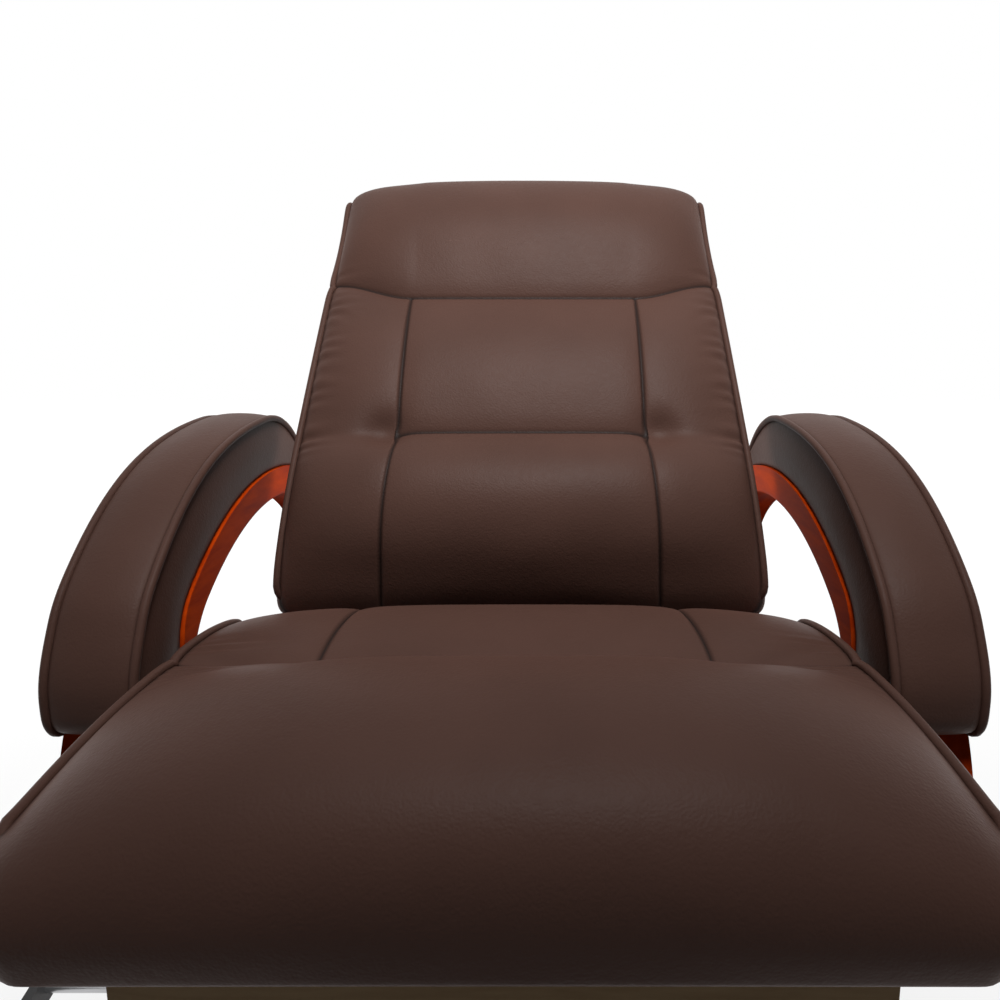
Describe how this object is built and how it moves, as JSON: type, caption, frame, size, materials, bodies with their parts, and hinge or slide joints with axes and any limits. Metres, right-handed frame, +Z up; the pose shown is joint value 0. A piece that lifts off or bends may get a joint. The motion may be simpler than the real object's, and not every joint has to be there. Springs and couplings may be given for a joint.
{
  "type": "swivel recliner",
  "caption": "Brown leather recliner with a seamed tilting back, a seat with a raised front roll, padded bentwood arms and a wooden swivel ring base.",
  "frame": {"origin": "on the floor, on the swivel axis", "axes": "+Z up, -Y the way the sitter faces, +X the sitter's left"},
  "size_m": [0.79, 0.8777, 0.8987],
  "materials": {
    "leather_brown": "grained, satin",
    "wood_amber": "stained and lacquered",
    "plywood": "raw",
    "webbing": "woven",
    "steel_black": "powder coated",
    "steel_bright": "zinc plated",
    "plastic_black": "moulded"
  },
  "bodies": {
    "base": {"base_ring": "wood_amber", "long_arch": "wood_amber", "cross_arch": "wood_amber", "glides": "plastic_black", "ring_screws": "steel_bright", "swivel_lower_plate": "steel_black", "plate_screws": "steel_bright", "thrust_bearing": "steel_bright", "king_pin": "steel_bright"},
    "frame": {"chassis": "steel_black", "frame_bolts": "steel_bright", "hinge_pins": "steel_bright", "left_arm_bow": "wood_amber", "left_arm_pad": "leather_brown", "left_arm_pad_board": "wood_amber", "left_hinge_leaf": "steel_black", "left_rear_bow": "wood_amber", "lever_hanger": "steel_black", "pad_screws": "steel_bright", "right_arm_bow": "wood_amber", "right_arm_pad": "leather_brown", "right_arm_pad_board": "wood_amber", "right_hinge_leaf": "steel_black", "right_rear_bow": "wood_amber", "seat_cushion": "leather_brown", "seat_frame": "plywood", "seat_webbing": "webbing", "strut_bracket": "steel_black", "strut_pin": "steel_bright", "swivel_upper_plate": "steel_black"},
    "back": {"back_cushion": "leather_brown", "back_top_rail": "plywood", "back_bottom_rail": "plywood", "back_webbing": "webbing", "back_rear_cover": "leather_brown", "back_cross_bar": "steel_black", "bar_bolts": "steel_bright", "left_back_stile": "plywood", "left_back_bar": "steel_black", "right_back_stile": "plywood", "right_back_bar": "steel_black"},
    "strut_cylinder": {"strut_cylinder": "steel_black"},
    "strut_rod": {"strut_rod": "steel_bright"},
    "lever": {"lever_shaft": "steel_bright", "release_lever": "steel_black", "lever_grip": "plastic_black"}
  },
  "joints": [
    {"name": "swivel", "type": "hinge", "parent": "base", "child": "frame", "pos_m": [0, 0, 0.16], "axis": [0, 0, 1], "continuous": true},
    {"name": "back_recline", "type": "hinge", "parent": "frame", "child": "back", "pos_m": [0, -0.1, 0.28], "axis": [1, 0, 0], "range_deg": [-8, 24]},
    {"name": "strut_swing", "type": "hinge", "parent": "frame", "child": "strut_cylinder", "pos_m": [0, -0.315, 0.262], "axis": [1, 0, 0], "range_deg": [-2.2, 0.8]},
    {"name": "strut_extend", "type": "slide", "parent": "strut_cylinder", "child": "strut_rod", "axis": [0, 0.9886, -0.1507], "range_m": [-0.0075, 0.0222]},
    {"name": "release_lift", "type": "hinge", "parent": "frame", "child": "lever", "pos_m": [0, -0.345, 0.262], "axis": [-1, 0, 0], "range_deg": [0, 20], "stiffness_Nm_per_rad": 0.6, "springref_deg": -14.32}
  ],
  "couplings": [
    {"joint": "strut_swing", "follows": "back_recline", "ratio": -0.085},
    {"joint": "strut_extend", "follows": "back_recline", "m_per_rad": 0.052}
  ]
}
